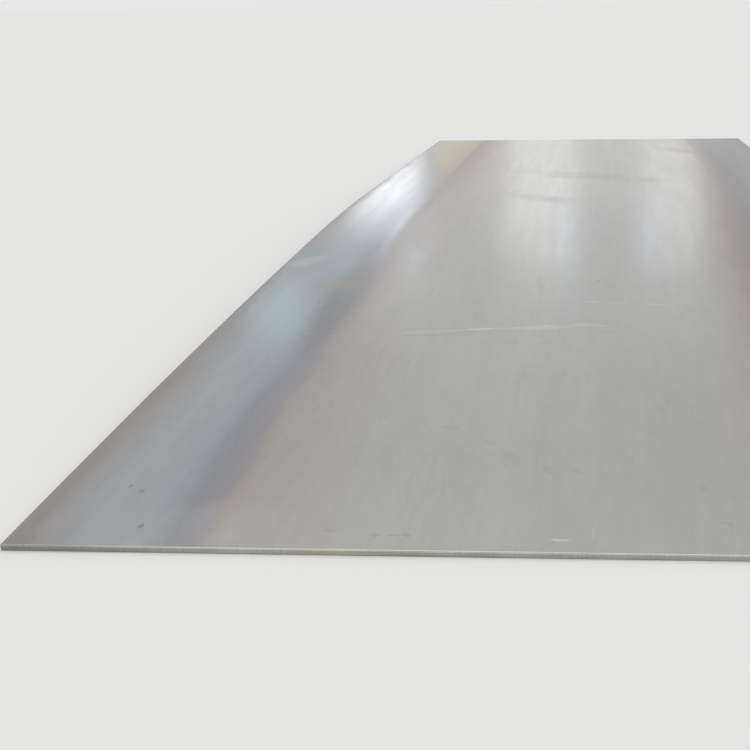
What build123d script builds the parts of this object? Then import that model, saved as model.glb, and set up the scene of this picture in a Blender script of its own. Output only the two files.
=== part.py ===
import math
import os

from build123d import *

os.makedirs("parts", exist_ok=True)

# Stock size of the plate, in millimetres
plate_length = 6000
plate_width = 2000
plate_thickness = 12

# The long edges are left as rolled, and the two ends are sheared
rolled_edge_radius = 3
sheared_edge_break = 0.8

# The plate's long bow: a gentle bend from the front end, a tighter one at the crown, then a straight run
front_run = 2600
front_turn = 2.0
crown_run = 800
crown_turn = 1.95
rear_run = plate_length - front_run - crown_run

front_radius = front_run / math.radians(front_turn)
crown_radius = crown_run / math.radians(crown_turn)


def bowed_line(height, heading):
    """A line along the plate, at a height above its underside, that leaves the front end at a heading."""
    along = Vector(math.cos(heading), math.sin(heading))
    across = Vector(-math.sin(heading), math.cos(heading))
    front = JernArc(across * height, along, front_radius + height, -front_turn)
    crown = JernArc(front @ 1, front % 1, crown_radius + height, -crown_turn)
    rear = Line(crown @ 1, (crown @ 1) + (crown % 1) * rear_run)
    return Curve() + [front, crown, rear]


def level_heading():
    """The heading at the front end that leaves both ends of the underside at one height."""
    underside = bowed_line(0, 0)
    reach = underside.edges().sort_by(Axis.X)[-1] @ 1
    return -math.atan2(reach.Y, reach.X)


def plate_section():
    """The plate seen from its long side: underside, top and the two square ends."""
    heading = level_heading()
    underside = bowed_line(0, heading)
    top = bowed_line(plate_thickness, heading)
    lower = underside.edges().sort_by(Axis.X)
    upper = top.edges().sort_by(Axis.X)
    front_end = Line(lower[0] @ 0, upper[0] @ 0)
    rear_end = Line(lower[-1] @ 1, upper[-1] @ 1)
    return make_face(Curve() + [*lower, rear_end, *upper, front_end])


def end_edges(plate):
    """The four straight edges, as long as the plate is wide, around its two ends."""
    ends = plate.faces().sort_by(Axis.Y)
    edges = ends[0].edges() + ends[-1].edges()
    return [edge for edge in edges if edge.bounding_box().size.X > plate_width / 2]


def long_edges(plate):
    """The edges that run along the plate's two long sides, above and below."""
    sides = plate.faces().sort_by(Axis.X)
    edges = sides[0].edges() + sides[-1].edges()
    return [edge for edge in edges if edge.bounding_box().size.Y > 2 * plate_thickness]


def steel_plate():
    """One plate as it lies: bowed, with lightly broken sheared ends and rounded rolled edges."""
    plate = extrude(Plane.YZ * plate_section(), plate_width / 2, both=True)
    plate = chamfer(end_edges(plate), sheared_edge_break)
    plate = fillet(long_edges(plate), rolled_edge_radius)
    box = plate.bounding_box()
    return plate.moved(Location((0, -box.center().Y, -box.min.Z)))


export_step(steel_plate(), "parts/steel_plate.step")
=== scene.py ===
import math

import bmesh
import bpy
from mathutils import Matrix, Vector, noise


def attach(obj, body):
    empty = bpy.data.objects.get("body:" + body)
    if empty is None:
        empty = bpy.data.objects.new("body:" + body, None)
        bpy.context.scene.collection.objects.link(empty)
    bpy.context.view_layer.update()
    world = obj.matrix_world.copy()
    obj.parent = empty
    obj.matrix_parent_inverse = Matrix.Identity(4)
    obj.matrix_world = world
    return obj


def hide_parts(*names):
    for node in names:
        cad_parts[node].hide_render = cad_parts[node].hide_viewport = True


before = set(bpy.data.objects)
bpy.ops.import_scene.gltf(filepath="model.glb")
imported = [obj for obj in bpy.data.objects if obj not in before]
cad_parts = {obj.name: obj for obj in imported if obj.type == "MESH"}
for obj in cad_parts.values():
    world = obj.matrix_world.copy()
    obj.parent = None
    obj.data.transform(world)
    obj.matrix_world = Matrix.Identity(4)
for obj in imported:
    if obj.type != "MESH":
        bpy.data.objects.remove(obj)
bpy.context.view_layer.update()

# The steel plate: one piece of hot-rolled carbon steel, 12 mm thick. Its long edges are round as the
# mill's edge rolls leave them, and its two ends are cut square in a guillotine shear. It has kept a
# long bow, and it lies on its two ends.
plate_length = 6.0
plate_width = 2.0
plate_thickness = 0.012
rolled_edge_radius = 0.003
sheared_edge_break = 0.0008
burnished_depth = 0.004
torn_depth = 0.0003
tear_length = 0.03

front_run = 2.6
front_turn = math.radians(2.0)
crown_run = 0.8
crown_turn = math.radians(1.95)

# The plate's faint waves are given as how many there are in a metre, across the plate and along it.
wave_height = 0.0012
broad_waves = (1.3, 0.9)
short_waves = (2.6, 2.1)
short_wave_share = 0.6
calm_run = 0.6
edge_waver = 0.0008
edge_waver_length = 0.35

mesh_step_along = 0.03
mesh_step_across = 0.035
hair = 0.0001  # places nearer than this count as one
scale_slot, sheared_slot, edge_slot = range(3)


def turned(point, angle):
    """A point of the plate's long section, turned about the front end."""
    y, z = point
    return y * math.cos(angle) - z * math.sin(angle), y * math.sin(angle) + z * math.cos(angle)


def bent(distance, height):
    """Where a point of the flat plate goes in the bow: its distance from the front end and its height."""
    front_radius = front_run / front_turn
    crown_radius = crown_run / crown_turn
    if distance <= front_run:
        y, z = turned((0.0, front_radius + height), -distance / front_radius)
        return y, z - front_radius
    centre_y, centre_z = turned((0.0, front_radius - crown_radius), -front_turn)
    angle = -front_turn - min(distance - front_run, crown_run) / crown_radius
    y, z = turned((0.0, crown_radius + height), angle)
    past = max(0.0, distance - front_run - crown_run)
    return centre_y + y + past * math.cos(angle), centre_z - front_radius + z + past * math.sin(angle)


def cut(mesh, faces, place, across):
    """Cuts some faces of a mesh along a plane through a place."""
    edges = {edge for face in faces for edge in face.edges}
    verts = {vert for face in faces for vert in face.verts}
    bmesh.ops.bisect_plane(mesh, geom=[*verts, *edges, *faces], plane_co=place, plane_no=across)


def flat_plate():
    """The plate as a flat slab with its edges worked, cut into faces small enough to bend.

    The faces that look along the plate are its sheared ends, and those that look across it its rolled
    edges. The rest keep their mill scale.
    """
    mesh = bmesh.new()
    bmesh.ops.create_cube(mesh, size=1.0)
    bmesh.ops.scale(mesh, verts=mesh.verts, vec=(plate_width, plate_length, plate_thickness))
    ends = [e for e in mesh.edges if abs(e.verts[0].co.x - e.verts[1].co.x) > plate_width / 2]
    bmesh.ops.bevel(
        mesh, geom=ends, offset=sheared_edge_break, segments=1, affect="EDGES", profile=0.5, material=-1
    )
    sides = [e for e in mesh.edges if abs(e.verts[0].co.y - e.verts[1].co.y) > plate_length / 2]
    sides = [e for e in sides if abs(e.verts[0].co.x) > plate_width / 2 - hair]
    bmesh.ops.bevel(
        mesh, geom=sides, offset=rolled_edge_radius, segments=4, affect="EDGES", profile=0.5, material=-1
    )
    for face in mesh.faces:
        face.material_index = scale_slot
        if abs(face.normal.y) > 0.5:
            face.material_index = sheared_slot
        elif abs(face.normal.x) > 0.1:
            face.material_index = edge_slot
    end_faces = [face for face in mesh.faces if abs(face.normal.y) > 0.9]
    cut(mesh, end_faces, (0, 0, plate_thickness / 2 - burnished_depth), (0, 0, 1))
    for step in range(1, round(plate_length / mesh_step_along)):
        cut(mesh, mesh.faces[:], (0, -plate_length / 2 + step * mesh_step_along, 0), (0, 1, 0))
    for step in range(1, math.ceil(plate_width / mesh_step_across)):
        cut(mesh, mesh.faces[:], (-plate_width / 2 + step * mesh_step_across, 0, 0), (1, 0, 0))
    return mesh


def work_edges(mesh):
    """Makes the rolled edges waver, and leaves the torn part of each sheared end slightly hollow.

    Each point also keeps its height in the flat slab, which the finishes read once the plate is bowed.
    Fixed coordinates that are given to the noise, here and in the bow, only pick a place in it.
    """
    slab_height = mesh.verts.layers.float.new("slab_height")
    for vert in mesh.verts:
        x, y, z = vert.co
        vert[slab_height] = z + plate_thickness / 2
        if abs(x) > plate_width / 2 - 2 * rolled_edge_radius:
            side = math.copysign(1.0, x)
            waver = 0.5 + noise.noise(Vector((side * 7.0, y / edge_waver_length, 2.0)))
            vert.co.x -= side * edge_waver * waver
        on_end = abs(y) > plate_length / 2 - hair
        under_burnish = z < plate_thickness / 2 - burnished_depth + hair
        if on_end and under_burnish:
            rough = 1.0 + 0.6 * noise.noise(Vector((x / tear_length, y, 5.0)))
            vert.co.y -= math.copysign(torn_depth * rough, y)


def bow(mesh):
    """Bends the slab, adds its faint waves, which fade out at the ends, and sets it down on its ends."""
    level = -math.atan2(*reversed(bent(plate_length, 0.0)))
    for vert in mesh.verts:
        x, y, z = vert.co
        calm = min(1.0, (plate_length / 2 - abs(y)) / calm_run)
        wave = noise.noise(Vector((x * broad_waves[0], y * broad_waves[1], 4.0)))
        wave += short_wave_share * noise.noise(Vector((x * short_waves[0], y * short_waves[1], 9.0)))
        y, z = turned(bent(y + plate_length / 2, z + plate_thickness / 2), level)
        vert.co = (x, y, z + wave_height * wave * calm)
    middle = (min(v.co.y for v in mesh.verts) + max(v.co.y for v in mesh.verts)) / 2
    lowest = min(v.co.z for v in mesh.verts)
    bmesh.ops.translate(mesh, verts=mesh.verts, vec=(0, -middle, -lowest))


plate_mesh = flat_plate()
work_edges(plate_mesh)
bow(plate_mesh)
plate_data = bpy.data.meshes.new("steel_plate_as_rolled")
plate_mesh.to_mesh(plate_data)
plate_mesh.free()
plate = bpy.data.objects.new("steel_plate_as_rolled", plate_data)
bpy.context.scene.collection.objects.link(plate)
plate_data.shade_smooth()
plate_data.set_sharp_from_angle(angle=math.radians(30))

# Mill scale: the blue-grey oxide that hot rolling leaves on the steel, mostly magnetite. It is a hard,
# smooth skin with a high refractive index: a satin sheen that grows at a low angle, heat colours along
# the two long edges, where the plate cooled first, and faint streaks along the way it was rolled.

# The bands of colour and of sheen lie at distances in metres from the left edge. On the right they are
# drawn in by 165 mm at the front end, and let out by 55 mm from 4 m on.
across_bands = [
    (0.00, "#716761"),
    (0.05, "#918a80"),
    (0.17, "#8e867b"),
    (0.24, "#7f766a"),
    (0.31, "#695e54"),
    (0.38, "#847d70"),
    (0.48, "#8a867b"),
    (0.58, "#8d8d88"),
    (0.86, "#91918d"),
    (1.06, "#8e8e89"),
    (1.26, "#8b8b85"),
    (1.46, "#8a8982"),
    (1.56, "#7e7261"),
    (1.61, "#6c5d4d"),
    (1.66, "#5b585a"),
    (1.74, "#68686b"),
    (1.90, "#6e6c6d"),
    (2.00, "#665c56"),
]
across_roughness = [
    (0.00, 0.26),
    (0.04, 0.14),
    (0.28, 0.14),
    (0.33, 0.26),
    (0.39, 0.26),
    (0.46, 0.19),
    (1.52, 0.18),
    (1.62, 0.26),
    (1.72, 0.26),
    (1.86, 0.22),
    (2.00, 0.26),
]
dullest = 0.268  # no part of the skin is duller than this
right_part = (1.1, 1.5)
right_moves = (0.0, 4.0)
right_drawn_in = (0.165, -0.055)
wander_width = 0.032

# The blue band along the left edge lies over those. Its colours are placed for a band 400 mm wide, which
# is slid out over the edge until the width given here is left at each distance from the front end. Its
# inner border fades over 30 mm, and over 100 mm towards the rear.
blue_bands = [
    (0.00, "#645b54"),
    (0.06, "#645d57"),
    (0.09, "#706d69"),
    (0.12, "#727674"),
    (0.18, "#788488"),
    (0.27, "#6f7c81"),
    (0.33, "#586068"),
    (0.37, "#6b656a"),
    (0.41, "#786b68"),
]
blue_width = [
    (0.00, 0.375),
    (0.30, 0.36),
    (1.90, 0.345),
    (2.80, 0.32),
    (3.30, 0.33),
    (3.60, 0.33),
    (4.00, 0.30),
    (4.40, 0.26),
    (5.20, 0.13),
    (6.00, 0.02),
]
blue_full_width = 0.40
blue_border = (0.03, 0.10)
blue_border_softens = (3.4, 5.2)


def linear(hex_colour):
    """An sRGB colour such as #8a8a86 as the linear red, green, blue and alpha that a shader takes."""
    channels = [int(hex_colour[i:i + 2], 16) / 255 for i in (1, 3, 5)]
    return [c / 12.92 if c <= 0.04045 else ((c + 0.055) / 1.055) ** 2.4 for c in channels] + [1.0]


def add(owner, kind, settings, inputs):
    """Adds a node. Its inputs, by name or in the node's order, are values or what they are linked from."""
    made = owner.node_tree.nodes.new("ShaderNode" + kind)
    for name, value in settings.items():
        setattr(made, name, value)
    if isinstance(inputs, dict):
        pairs = [(made.inputs[name], value) for name, value in inputs.items()]
    else:
        pairs = zip([socket for socket in made.inputs if socket.enabled], inputs)
    for socket, value in pairs:
        if isinstance(value, bpy.types.Node):
            value = next(output for output in value.outputs if output.enabled)
        if isinstance(value, bpy.types.NodeSocket):
            owner.node_tree.links.new(value, socket)
        else:
            socket.default_value = value
    return made


def grain(owner, cell, detail, low, high):
    """Noise with cells of a size, in metres across, along and through the plate, between two values."""
    place = add(owner, "TexCoord", {}, []).outputs["Object"]
    cells = add(owner, "Mapping", {}, {"Vector": place, "Scale": [1 / size for size in cell]})
    value = add(owner, "TexNoise", {}, {"Vector": cells, "Scale": 1.0, "Detail": detail})
    least, most = 0.3, 0.7  # nearly all of the noise lies between these
    return add(owner, "MapRange", {}, [value, least, most, low, high])


def banded(owner, distance, bands):
    """What a surface has at a distance, in metres: bands give distances, each with a colour or a number."""
    length = bands[-1][0]
    made = add(owner, "ValToRGB", {}, [add(owner, "Math", {"operation": "DIVIDE"}, [distance, length])])
    elements = made.color_ramp.elements
    while len(elements) < len(bands):
        elements.new(0.5)
    for element, (band, value) in zip(elements, bands):
        element.position = band / length
        element.color = linear(value) if isinstance(value, str) else (value, value, value, 1.0)
    return made


scale = bpy.data.materials.new("hot_rolled_mill_scale")
scale.use_nodes = True
scale_shader = scale.node_tree.nodes["Principled BSDF"]
scale_shader.inputs["IOR"].default_value = 2.2

place = add(scale, "SeparateXYZ", {}, [add(scale, "TexCoord", {}, []).outputs["Object"]])
from_left = add(scale, "Math", {"operation": "ADD"}, [place.outputs["X"], plate_width / 2])
from_front = add(scale, "Math", {"operation": "ADD"}, [place.outputs["Y"], plate_length / 2])
wander = grain(scale, (0.10, 0.36, 1.0), 4.0, -wander_width / 2, wander_width / 2)

drawn_in = add(scale, "MapRange", {}, [from_front, *right_moves, *right_drawn_in])
on_right = add(scale, "MapRange", {}, [from_left, *right_part, 0.0, 1.0])
shifted = add(scale, "Math", {"operation": "MULTIPLY_ADD"}, [drawn_in, on_right, from_left])
shifted = add(scale, "Math", {"operation": "ADD"}, [shifted, wander])
skin = banded(scale, shifted, across_bands)

narrowed = banded(scale, from_front, [(distance, blue_full_width - width) for distance, width in blue_width])
blue_place = add(scale, "Math", {"operation": "ADD"}, [from_left, narrowed])
blue_place = add(scale, "Math", {"operation": "ADD"}, [blue_place, wander])
blue = banded(scale, blue_place, blue_bands)
blue_ends = [blue_full_width - border for border in blue_border]
blue_ends = add(scale, "MapRange", {}, [from_front, *blue_border_softens, *blue_ends])
blueness = add(
    scale, "MapRange", {"interpolation_type": "SMOOTHSTEP"},
    [blue_place, blue_ends, blue_full_width, 1.0, 0.0],
)
skin = add(scale, "Mix", {"data_type": "RGBA"}, [blueness, skin, blue])

# The grey turns slightly from yellowish to violet. The streaks of rolling are 120 and 25 mm wide and up to
# a metre or so long, and between them the scale is mottled in patches of 20 to 35 mm. Pits are 9 mm wide,
# coarser than the real ones, which would not show. The front 2 m, where the plate is handled most, are
# paler, and the last 400 mm before the end most of all.
worn_run = 2.0
handled_run = 0.40
tint = grain(scale, (0.18, 0.90, 1.0), 3.0, 0.0, 1.0)
tint = add(scale, "Mix", {"data_type": "RGBA"}, [tint, linear("#fdfff8"), linear("#fbf9ff")])
skin = add(scale, "Mix", {"data_type": "RGBA", "blend_type": "MULTIPLY"}, [1.0, skin, tint])
broad = grain(scale, (0.12, 1.20, 1.0), 3.0, 0.965, 1.035)
narrow = grain(scale, (0.025, 0.30, 1.0), 3.0, 0.975, 1.025)
mottle = grain(scale, (0.035, 0.14, 1.0), 3.0, 0.97, 1.03)
smudge = grain(scale, (0.020, 0.080, 1.0), 2.0, 0.0, 1.0)
smudged_parts = grain(scale, (0.22, 0.32, 1.0), 2.0, 0.0, 1.0)
smudge = add(scale, "Math", {"operation": "MULTIPLY"}, [smudge, smudged_parts])
smudge = add(scale, "MapRange", {}, [smudge, 0.35, 0.8, 1.0, 0.94])
pits = grain(scale, (0.009, 0.030, 1.0), 1.0, 0.0, 1.0)
pits = add(scale, "MapRange", {}, [pits, 0.82, 1.0, 1.0, 0.96])
worn = add(scale, "MapRange", {}, [from_front, 0.0, worn_run, 1.05, 0.95])
handled = add(scale, "MapRange", {}, [from_front, 0.0, handled_run, 1.10, 1.0])
for shade in (broad, narrow, mottle, smudge, pits, worn, handled):
    skin = add(scale, "VectorMath", {"operation": "SCALE"}, [skin, shade])

# Marks of handling: each is a patch between two points, given as metres from the left edge and from the
# front end, with its width and how strongly it shows. Scratches and rubbed places are bare steel, and
# stains are dirt, but the first two stains are painted shadow lines just in front of scratches 1.2 to 1.3 m
# from the front end. Dull dark lines take the sheen off more than they darken, and dried water is yellowish.
scratches = [
    ((0.522, 1.199), (0.645, 1.213), 0.034, 0.14),
    ((0.640, 1.214), (0.700, 1.228), 0.028, 0.19),
    ((0.685, 1.229), (0.775, 1.240), 0.018, 0.42),
    ((0.725, 1.236), (0.780, 1.241), 0.020, 0.28),
    ((0.770, 1.240), (0.862, 1.247), 0.024, 0.22),
    ((0.852, 1.246), (0.980, 1.260), 0.052, 0.20),
    ((0.888, 1.256), (0.930, 1.259), 0.040, 0.16),
    ((0.993, 1.275), (1.038, 1.281), 0.040, 0.18),
    ((1.036, 1.272), (1.095, 1.265), 0.022, 0.12),
    ((1.012, 1.509), (1.064, 1.501), 0.022, 0.22),
    ((1.087, 1.500), (1.138, 1.491), 0.028, 0.15),
    ((1.190, 1.490), (1.263, 1.473), 0.020, 0.15),
    ((0.970, 0.045), (1.007, 0.043), 0.012, 0.42),
    ((1.050, 0.093), (1.050, 0.046), 0.010, 0.15),
]
rubbed_places = [
    ((0.050, 1.960), (0.090, 2.060), 0.120, 0.16),
    ((0.300, 0.040), (0.370, 0.080), 0.300, 0.12),
]
stains_and_painted_shadows = [
    # The first two are painted shadow lines just in front of scratches, not dirt.
    ((0.546, 1.175), (0.647, 1.177), 0.014, 0.16),
    ((1.029, 1.228), (1.124, 1.211), 0.012, 0.14),
    # The rest are dirt.
    ((0.145, 0.231), (0.148, 0.242), 0.012, 0.50),
    ((0.175, 0.203), (0.175, 0.221), 0.016, 0.80),
    ((0.227, 0.069), (0.227, 0.080), 0.014, 0.75),
    ((1.060, 1.735), (1.060, 1.750), 0.013, 0.75),
    ((0.876, 1.856), (0.888, 1.577), 0.040, 0.16),
    ((0.300, 0.900), (0.282, 2.160), 0.140, 0.85),
    ((0.573, 0.612), (0.577, 0.572), 0.012, 0.18),
    ((0.586, 0.612), (0.590, 0.572), 0.012, 0.12),
    ((0.723, 0.540), (0.750, 0.532), 0.034, 0.17),
    ((0.827, 0.462), (0.836, 0.450), 0.030, 0.16),
    ((0.830, 0.410), (0.842, 0.398), 0.030, 0.11),
    ((0.875, 0.410), (0.890, 0.355), 0.036, 0.12),
    ((0.956, 0.342), (0.962, 0.316), 0.032, 0.16),
    ((1.006, 0.330), (1.018, 0.316), 0.028, 0.14),
    ((1.251, 0.270), (1.256, 0.248), 0.030, 0.16),
    ((1.280, 0.116), (1.300, 0.110), 0.020, 0.18),
    ((0.680, 0.052), (0.712, 0.054), 0.008, 0.25),
    ((0.570, 0.069), (0.584, 0.069), 0.020, 0.25),
    ((0.654, 0.053), (0.668, 0.053), 0.018, 0.25),
    ((0.044, 0.039), (0.055, 0.016), 0.012, 0.35),
]
# Dull dark lines across the plate, 3.1 to 5.4 m from the front end, which take the sheen off more than they
# darken.
dull_dark_lines = [
    ((0.650, 3.420), (0.760, 3.310), 0.190, 0.22),
    ((0.740, 3.320), (0.870, 3.190), 0.230, 0.28),
    ((0.860, 3.220), (0.970, 3.120), 0.200, 0.28),
    ((0.590, 4.360), (0.720, 4.190), 0.240, 0.12),
    ((0.690, 4.230), (0.840, 4.130), 0.300, 0.12),
    ((0.810, 4.150), (0.960, 4.030), 0.340, 0.15),
    ((0.900, 4.070), (1.100, 3.980), 0.360, 0.32),
    ((1.140, 3.970), (1.280, 3.850), 0.340, 0.30),
    ((1.260, 3.870), (1.430, 3.800), 0.240, 0.08),
    ((1.460, 5.420), (1.600, 5.120), 0.200, 0.45),
]
water_marks = [
    ((0.175, 1.685), (0.320, 1.700), 0.120, 0.50),
]
rust_marks = [
    ((0.712, 0.059), (0.727, 0.051), 0.012, 0.45),
    ((0.171, 0.189), (0.208, 0.093), 0.030, 0.10),
]


def on_mark(owner, spot, start, end, width):
    """How much a spot on the plate lies on a mark, a slim ellipse that fades towards its border."""
    reach = Vector(end) - Vector(start)
    middle = (Vector(start) + Vector(end)) / 2
    laid = add(owner, "Mapping", {"vector_type": "TEXTURE"}, {
        "Vector": spot,
        "Location": (*middle, 0.0),
        "Rotation": (0.0, 0.0, math.atan2(reach.y, reach.x)),
        "Scale": ((reach.length + width) / 2, width / 2, 1.0),
    })
    inward = add(owner, "TexGradient", {"gradient_type": "SPHERICAL"}, [laid]).outputs["Fac"]
    fade = 0.6  # the share of the way to its middle over which a mark fades in
    return add(owner, "MapRange", {"interpolation_type": "SMOOTHSTEP"}, [inward, 0.0, fade, 0.0, 1.0])


roughness = banded(scale, shifted, across_roughness)
sheen_streaks = grain(scale, (0.05, 0.80, 1.0), 3.0, -0.02, 0.03)
roughness = add(scale, "Math", {"operation": "ADD"}, [roughness, sheen_streaks])

slab_height = add(scale, "Attribute", {"attribute_name": "slab_height"}, []).outputs["Fac"]
on_top = add(scale, "Math", {"operation": "GREATER_THAN"}, [slab_height, plate_thickness / 2])
ragged = grain(scale, (0.02, 0.02, 1.0), 2.0, -0.003, 0.003)
spot = add(scale, "CombineXYZ", {}, [
    add(scale, "Math", {"operation": "ADD"}, [from_left, ragged]),
    add(scale, "Math", {"operation": "ADD"}, [from_front, ragged]),
])

# Each kind of mark has its colour, how well that covers the skin, how much the mark dulls it, the size of
# the patches that it is broken into, and its places. Marks are on the upper side only.
for colour, cover, dulling, patch, marks in (
    ("#c9cac5", 1.0, 0.0, 0.03, scratches),
    ("#4c4a47", 1.0, 0.1, 0.03, stains_and_painted_shadows),
    ("#56534f", 0.30, 0.12, 0.25, dull_dark_lines),
    ("#c9cac5", 1.0, 0.0, 0.10, rubbed_places),
    ("#766d4a", 1.0, 0.0, 0.10, water_marks),
    ("#a0604e", 1.0, 0.1, 0.03, rust_marks),
):
    patchy = grain(scale, (patch, patch, 1.0), 1.0, 0.5, 1.2)
    patchy = add(scale, "Math", {"operation": "MULTIPLY"}, [patchy, on_top])
    for start, end, width, strength in marks:
        marked = on_mark(scale, spot, start, end, width)
        marked = add(scale, "Math", {"operation": "MULTIPLY"}, [marked, strength])
        marked = add(scale, "Math", {"operation": "MULTIPLY"}, [marked, patchy])
        roughness = add(scale, "Math", {"operation": "MULTIPLY_ADD"}, [marked, dulling, roughness])
        covered = add(scale, "Math", {"operation": "MULTIPLY"}, [marked, cover])
        skin = add(scale, "Mix", {"data_type": "RGBA"}, [covered, skin, linear(colour)])
roughness = add(scale, "Math", {"operation": "MINIMUM"}, [roughness, dullest])
scale.node_tree.links.new(skin.outputs[2], scale_shader.inputs["Base Color"])
scale.node_tree.links.new(roughness.outputs[0], scale_shader.inputs["Roughness"])

# Sheared ends: bare steel, cut cold. The blade burnishes the upper part and tears the rest, so the face
# is a lighter grey than the scale, with a darker torn part, a bright burr and upright marks. These are
# 4 mm apart, coarser than the real ones, which would not show. Towards the left edge the face is darkened
# with painted shade.
tear_line = plate_thickness - burnished_depth
tear_line_fade = 0.0005
burr_line = plate_thickness - sheared_edge_break
burr_fade = 0.0006
# Painted shade: the face keeps 0.68 of its colour up to 100 mm from the left edge, and its full colour from
# 380 mm.
painted_shade_part = (0.10, 0.38)
painted_shade_darkest = 0.68

sheared = bpy.data.materials.new("sheared_steel")
sheared.use_nodes = True
sheared_shader = sheared.node_tree.nodes["Principled BSDF"]
sheared_shader.inputs["Metallic"].default_value = 0.6
sheared_shader.inputs["Roughness"].default_value = 0.45
cut_height = add(sheared, "Attribute", {"attribute_name": "slab_height"}, []).outputs["Fac"]
waver = grain(sheared, (0.006, 1.0, 1.0), 3.0, -0.0008, 0.0008)
cut_height = add(sheared, "Math", {"operation": "ADD"}, [cut_height, waver])
upright_marks = grain(sheared, (0.004, 1.0, 0.05), 3.0, 0.0, 1.0)
burnished = add(sheared, "Mix", {"data_type": "RGBA"}, [upright_marks, linear("#d6d6cf"), linear("#c9c8c1")])
torn = add(sheared, "Mix", {"data_type": "RGBA"}, [upright_marks, linear("#bbb9b0"), linear("#a9a69e")])
torn_part = (tear_line - tear_line_fade, tear_line + tear_line_fade)
is_torn = add(sheared, "MapRange", {}, [cut_height, *torn_part, 1.0, 0.0])
cut_face = add(sheared, "Mix", {"data_type": "RGBA"}, [is_torn, burnished, torn])
stained = grain(sheared, (0.12, 1.0, 1.0), 3.0, 0.0, 0.35)
cut_face = add(sheared, "Mix", {"data_type": "RGBA"}, [stained, cut_face, linear("#8f8988")])
is_burr = add(sheared, "MapRange", {}, [cut_height, burr_line - burr_fade, burr_line, 0.0, 1.0])
burr_patches = grain(sheared, (0.07, 1.0, 1.0), 3.0, 0.3, 1.0)
is_burr = add(sheared, "Math", {"operation": "MULTIPLY"}, [is_burr, burr_patches])
cut_face = add(sheared, "Mix", {"data_type": "RGBA"}, [is_burr, cut_face, linear("#dddbd0")])
# The painted shade towards the left edge of the cut face.
cut_place = add(sheared, "SeparateXYZ", {}, [add(sheared, "TexCoord", {}, []).outputs["Object"]])
along_cut = add(sheared, "Math", {"operation": "ADD"}, [cut_place.outputs["X"], plate_width / 2])
painted_shade = add(sheared, "MapRange", {}, [along_cut, *painted_shade_part, painted_shade_darkest, 1.0])
cut_face = add(sheared, "VectorMath", {"operation": "SCALE"}, [cut_face, painted_shade])
sheared.node_tree.links.new(cut_face.outputs[0], sheared_shader.inputs["Base Color"])

# Rolled edges: scale that has started to rust in the damp, brown on the upright part and rubbed to a
# pinkish grey on the upper round, with bright nicks where slings have knocked it.
edge = bpy.data.materials.new("rusted_rolled_edge")
edge.use_nodes = True
edge_shader = edge.node_tree.nodes["Principled BSDF"]
edge_shader.inputs["Roughness"].default_value = 0.5
rust_patches = grain(edge, (0.02, 0.06, 0.02), 4.0, 0.0, 1.0)
rust = add(edge, "Mix", {"data_type": "RGBA"}, [rust_patches, linear("#857469"), linear("#6b5a4f")])
edge_height = add(edge, "Attribute", {"attribute_name": "slab_height"}, []).outputs["Fac"]
upper_round = (plate_thickness - rolled_edge_radius, plate_thickness)
rubbed = add(edge, "MapRange", {}, [edge_height, *upper_round, 0.0, 1.0])
rubbed_patches = grain(edge, (1.0, 0.03, 1.0), 3.0, 0.5, 1.0)
rubbed = add(edge, "Math", {"operation": "MULTIPLY"}, [rubbed, rubbed_patches])
rust = add(edge, "Mix", {"data_type": "RGBA"}, [rubbed, rust, linear("#c4b3aa")])
nicks = grain(edge, (0.02, 0.012, 0.02), 2.0, 0.0, 1.0)
nicks = add(edge, "MapRange", {}, [nicks, 0.86, 0.95, 0.0, 0.9])
rust = add(edge, "Mix", {"data_type": "RGBA"}, [nicks, rust, linear("#dad8d2")])
edge.node_tree.links.new(rust.outputs[2], edge_shader.inputs["Base Color"])

# The finishes are added in the order of their slots.
for finish in (scale, sheared, edge):
    plate_data.materials.append(finish)
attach(plate, "root")
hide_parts("steel_plate")

# The studio floor: plain, pale and matt, and large enough to reach the horizon. It lies half a millimetre
# under the plate's two ends.
floor_size = 400.0
floor_drop = 0.0005
floor_mesh = bmesh.new()
bmesh.ops.create_grid(floor_mesh, x_segments=1, y_segments=1, size=floor_size / 2)
bmesh.ops.translate(floor_mesh, verts=floor_mesh.verts, vec=(0, 0, -floor_drop))
floor_data = bpy.data.meshes.new("floor")
floor_mesh.to_mesh(floor_data)
floor_mesh.free()
floor = bpy.data.objects.new("floor", floor_data)
bpy.context.scene.collection.objects.link(floor)
floor_paint = bpy.data.materials.new("pale_floor")
floor_paint.use_nodes = True
floor_shader = floor_paint.node_tree.nodes["Principled BSDF"]
floor_shader.inputs["Base Color"].default_value = linear("#e4e4e2")
floor_shader.inputs["Roughness"].default_value = 0.9
floor_data.materials.append(floor_paint)

# The light: an even pale room with a broad soft lamp overhead, and upright windows low in its two end
# walls, which the plate's sheen draws out into long pale streaks.
room_level = 0.8
overhead_level = 0.2
overhead_width = math.radians(70.0)

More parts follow.
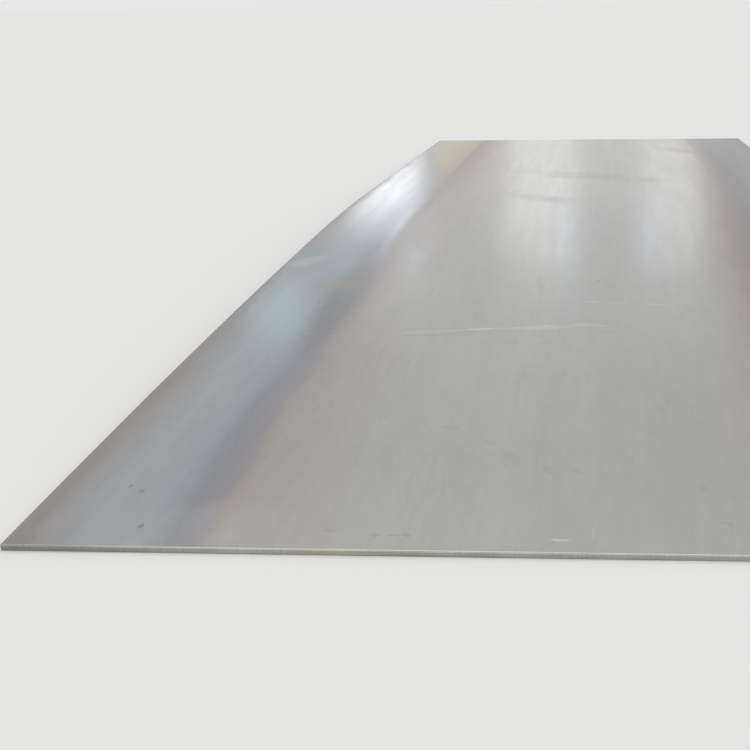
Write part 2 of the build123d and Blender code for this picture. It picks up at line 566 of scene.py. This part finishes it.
# A window has the bearings of its two sides from the plate's length and how soft they are, the rise of its
# foot and how soft that is, and the same of its head, all in degrees. Then come how much its head slopes
# and its sides lean, and the red, green and blue light that it gives over the room's. A foot at -90 is no
# foot at all, and light of less than nothing makes a dim part of the wall.
windows = [
    ((-4.20, -0.75, 0.9), (4.0, 3.2), (15.0, 1.2), (0.0, -0.02), (0.49, 0.49, 0.48)),
    ((-5.20, -1.90, 0.8), (10.5, 1.2), (14.0, 1.5), (0.0, 0.0), (0.28, 0.28, 0.28)),
    ((-1.90, -0.95, 0.3), (11.6, 1.0), (16.0, 1.5), (0.0, 0.0), (0.30, 0.55, 0.70)),
    ((1.85, 4.70, 0.8), (4.2, 3.0), (15.0, 1.2), (0.0, 0.06), (0.33, 0.33, 0.33)),
    ((1.85, 4.60, 0.8), (10.8, 1.2), (14.6, 1.5), (0.0, 0.06), (0.24, 0.24, 0.24)),
    ((1.75, 2.35, 0.3), (11.2, 1.2), (15.0, 1.5), (0.0, 0.06), (0.48, 0.70, 0.95)),
    ((-8.50, -6.50, 0.5), (4.5, 0.9), (9.6, 8.4), (0.0, -0.41), (1.32, 1.34, 1.37)),
    ((-9.30, -6.20, 0.8), (5.6, 3.0), (14.0, 2.5), (1.0, -0.30), (0.30, 0.38, 0.45)),
    ((-6.30, -5.20, 0.6), (9.6, 1.2), (14.6, 1.2), (0.0, -0.30), (1.22, 1.38, 1.76)),
    ((-18.0, -15.2, 1.0), (15.4, 1.2), (18.6, 1.2), (0.0, 0.0), (0.36, 0.56, 0.74)),
    ((-24.0, -11.0, 2.0), (10.0, 2.0), (20.0, 2.0), (0.0, 0.0), (-0.10, -0.06, -0.03)),
    ((-12.0, -4.00, 1.5), (-90.0, 1.0), (7.2, 1.2), (0.0, 0.0), (-0.03, -0.06, -0.12)),
    ((-7.90, -4.20, 1.0), (-90.0, 1.0), (5.6, 1.2), (0.0, 0.0), (0.0, -0.02, -0.08)),
    ((4.90, 16.0, 0.5), (-90.0, 1.0), (15.0, 1.2), (0.0, 0.075), (-0.145, -0.145, -0.135)),
]

world = bpy.data.worlds.new("even_room")
bpy.context.scene.world = world
world.use_nodes = True
view = add(world, "SeparateXYZ", {}, [add(world, "TexCoord", {}, []).outputs["Generated"]])
depth = add(world, "Math", {"operation": "ABSOLUTE"}, [view.outputs["Y"]])
bearing = add(world, "Math", {"operation": "ARCTAN2"}, [view.outputs["X"], depth])
rise = add(world, "Math", {"operation": "ARCSINE"}, [view.outputs["Z"]])
room = [room_level] * 3
for sides, foot, head, (slope, lean), light in windows:
    first, last, side_softness = (math.radians(angle) for angle in sides)
    foot, foot_softness = (math.radians(angle) for angle in foot)
    head, head_softness = (math.radians(angle) for angle in head)
    upright = add(world, "Math", {"operation": "MULTIPLY_ADD"}, [rise, -lean, bearing])
    aside = add(world, "Math", {"operation": "SUBTRACT"}, [upright, (first + last) / 2])
    aside = add(world, "Math", {"operation": "ABSOLUTE"}, [aside])
    side = [(last - first - side_softness) / 2, (last - first + side_softness) / 2]
    between = add(world, "MapRange", {}, [aside, *side, 1.0, 0.0])
    sloped = add(world, "Math", {"operation": "SUBTRACT"}, [bearing, first])
    sloped = add(world, "Math", {"operation": "MULTIPLY_ADD"}, [sloped, -slope, rise])
    below = add(world, "MapRange", {}, [sloped, head - head_softness / 2, head + head_softness / 2, 1.0, 0.0])
    above = add(world, "MapRange", {}, [rise, foot - foot_softness / 2, foot + foot_softness / 2, 0.0, 1.0])
    inside = add(world, "Math", {"operation": "MULTIPLY"}, [between, below])
    inside = add(world, "Math", {"operation": "MULTIPLY"}, [inside, above])
    room = add(world, "VectorMath", {"operation": "MULTIPLY_ADD"}, [inside, light, room])
seen = add(world, "LightPath", {}, []).outputs["Is Camera Ray"]
room = add(world, "Mix", {"data_type": "RGBA"}, [seen, room, linear("#e7e7e7")])
background = world.node_tree.nodes["Background"]
world.node_tree.links.new(room.outputs[2], background.inputs["Color"])

overhead = bpy.data.lights.new("overhead", "SUN")
overhead.energy = overhead_level * math.pi
overhead.angle = overhead_width
overhead_lamp = bpy.data.objects.new("overhead", overhead)
bpy.context.scene.collection.objects.link(overhead_lamp)

# The camera: 0.9 m over the floor, before the plate's front end and looking down its length. Its picture
# is the left part of a wider view, so its lens is shifted. The focal length is in the picture's pixels.
camera_place = (0.0476, -4.7628, 0.9163)
camera_pitch = math.radians(18.279)
camera_yaw = math.radians(-3.628)
camera_roll = math.radians(-0.840)
picture_width = 750.0
focal_length = 1140.6
camera_shift = -0.20

lens = bpy.data.cameras.new("camera")
lens.sensor_fit = "HORIZONTAL"
lens.sensor_width = 36.0
lens.lens = focal_length / picture_width * lens.sensor_width
lens.shift_x = camera_shift
lens.clip_end = 500.0
camera = bpy.data.objects.new("camera", lens)
turn = Matrix.Rotation(-camera_yaw, 4, "Z") @ Matrix.Rotation(math.pi / 2 - camera_pitch, 4, "X")
camera.matrix_world = Matrix.Translation(camera_place) @ turn @ Matrix.Rotation(camera_roll, 4, "Z")
bpy.context.scene.collection.objects.link(camera)
bpy.context.scene.camera = camera

bpy.context.scene.view_settings.view_transform = "Standard"
